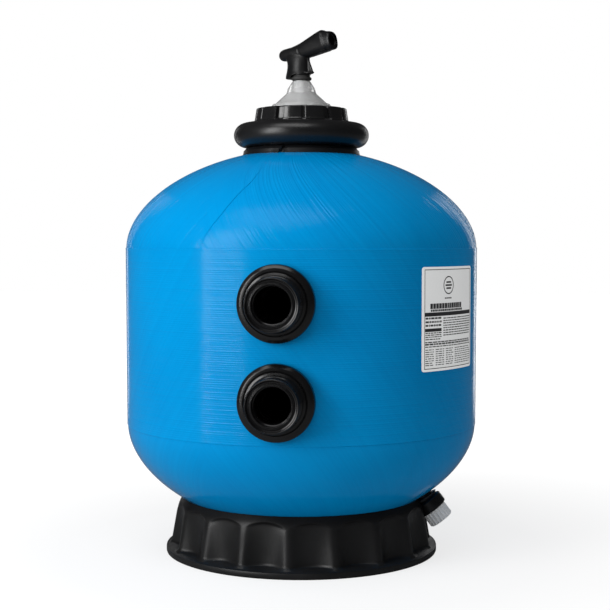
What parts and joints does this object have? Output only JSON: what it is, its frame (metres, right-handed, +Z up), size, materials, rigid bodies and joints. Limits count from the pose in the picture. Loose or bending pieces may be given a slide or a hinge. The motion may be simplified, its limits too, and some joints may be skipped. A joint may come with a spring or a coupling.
{
  "type": "side-port sand filter tank",
  "caption": "Blue wound sand filter tank on a fluted black base, with side ports, a screw-down clear lid with purge handle, and a low drain.",
  "frame": {"origin": "on the tank's vertical axis, at the floor under the base", "axes": "+Z up along the tank axis; the two ports face -Y; the drain points towards +X"},
  "size_m": [0.5, 0.5479, 0.7425],
  "materials": {
    "wound_shell": "semi-gloss, wound fibre under a blue coat",
    "base_black": "satin",
    "collar_black": "satin",
    "nut_black": "gloss",
    "handle_black": "satin",
    "port_black": "satin",
    "clear_plastic": "clear",
    "grey_plastic": "matte",
    "cap_grey": "satin",
    "pipe_white": "satin",
    "seal_rubber": "matte",
    "label_face": "satin print"
  },
  "bodies": {
    "tank": {"tank_shell": "wound_shell", "base_skirt": "base_black", "neck_ring": "collar_black", "neck_collar": "collar_black", "lid_seal": "seal_rubber", "upper_port": "port_black", "lower_port": "port_black", "upper_gasket": "seal_rubber", "lower_gasket": "seal_rubber", "upper_backnut": "port_black", "lower_backnut": "port_black", "inlet_elbow": "pipe_white", "inlet_riser": "pipe_white", "diffuser": "grey_plastic", "outlet_elbow": "pipe_white", "outlet_pipe": "pipe_white", "lateral_hub": "grey_plastic", "lateral_1": "grey_plastic", "lateral_2": "grey_plastic", "lateral_3": "grey_plastic", "lateral_4": "grey_plastic", "lateral_5": "grey_plastic", "lateral_6": "grey_plastic", "lateral_7": "grey_plastic", "lateral_8": "grey_plastic", "air_bleed": "pipe_white", "bleed_strainer": "grey_plastic", "drain_body": "collar_black", "drain_gasket": "seal_rubber", "drain_backnut": "collar_black", "drain_strainer": "grey_plastic", "label": "label_face"},
    "lid": {"clear_lid": "clear_plastic", "lid_tip_gasket": "seal_rubber", "purge_stem": "grey_plastic", "purge_seal": "seal_rubber"},
    "nut": {"lid_nut": "nut_black"},
    "handle": {"purge_handle": "handle_black"},
    "cap_slide": {"drain_cap_seal": "seal_rubber"},
    "cap": {"drain_cap": "cap_grey"}
  },
  "joints": [
    {"name": "lid_lift", "type": "slide", "parent": "tank", "child": "lid", "axis": [0, 0, 1], "range_m": [0, 0.03]},
    {"name": "nut_spin", "type": "hinge", "parent": "lid", "child": "nut", "pos_m": [0, 0, 0.623], "axis": [0, 0, 1], "range_deg": [0, 1800]},
    {"name": "purge_turn", "type": "hinge", "parent": "lid", "child": "handle", "pos_m": [0, 0, 0.68], "axis": [0, 0, 1], "range_deg": [-90, 90]},
    {"name": "cap_lift", "type": "slide", "parent": "tank", "child": "cap_slide", "axis": [0.6157, 0, -0.788], "range_m": [0, 0.014]},
    {"name": "cap_spin", "type": "hinge", "parent": "cap_slide", "child": "cap", "pos_m": [0.191, 0, 0.061], "axis": [0.6157, 0, -0.788], "range_deg": [0, 1680]}
  ],
  "couplings": [
    {"joint": "lid_lift", "follows": "nut_spin", "m_per_rad": 0.000954},
    {"joint": "cap_lift", "follows": "cap_spin", "m_per_rad": 0.000477}
  ]
}
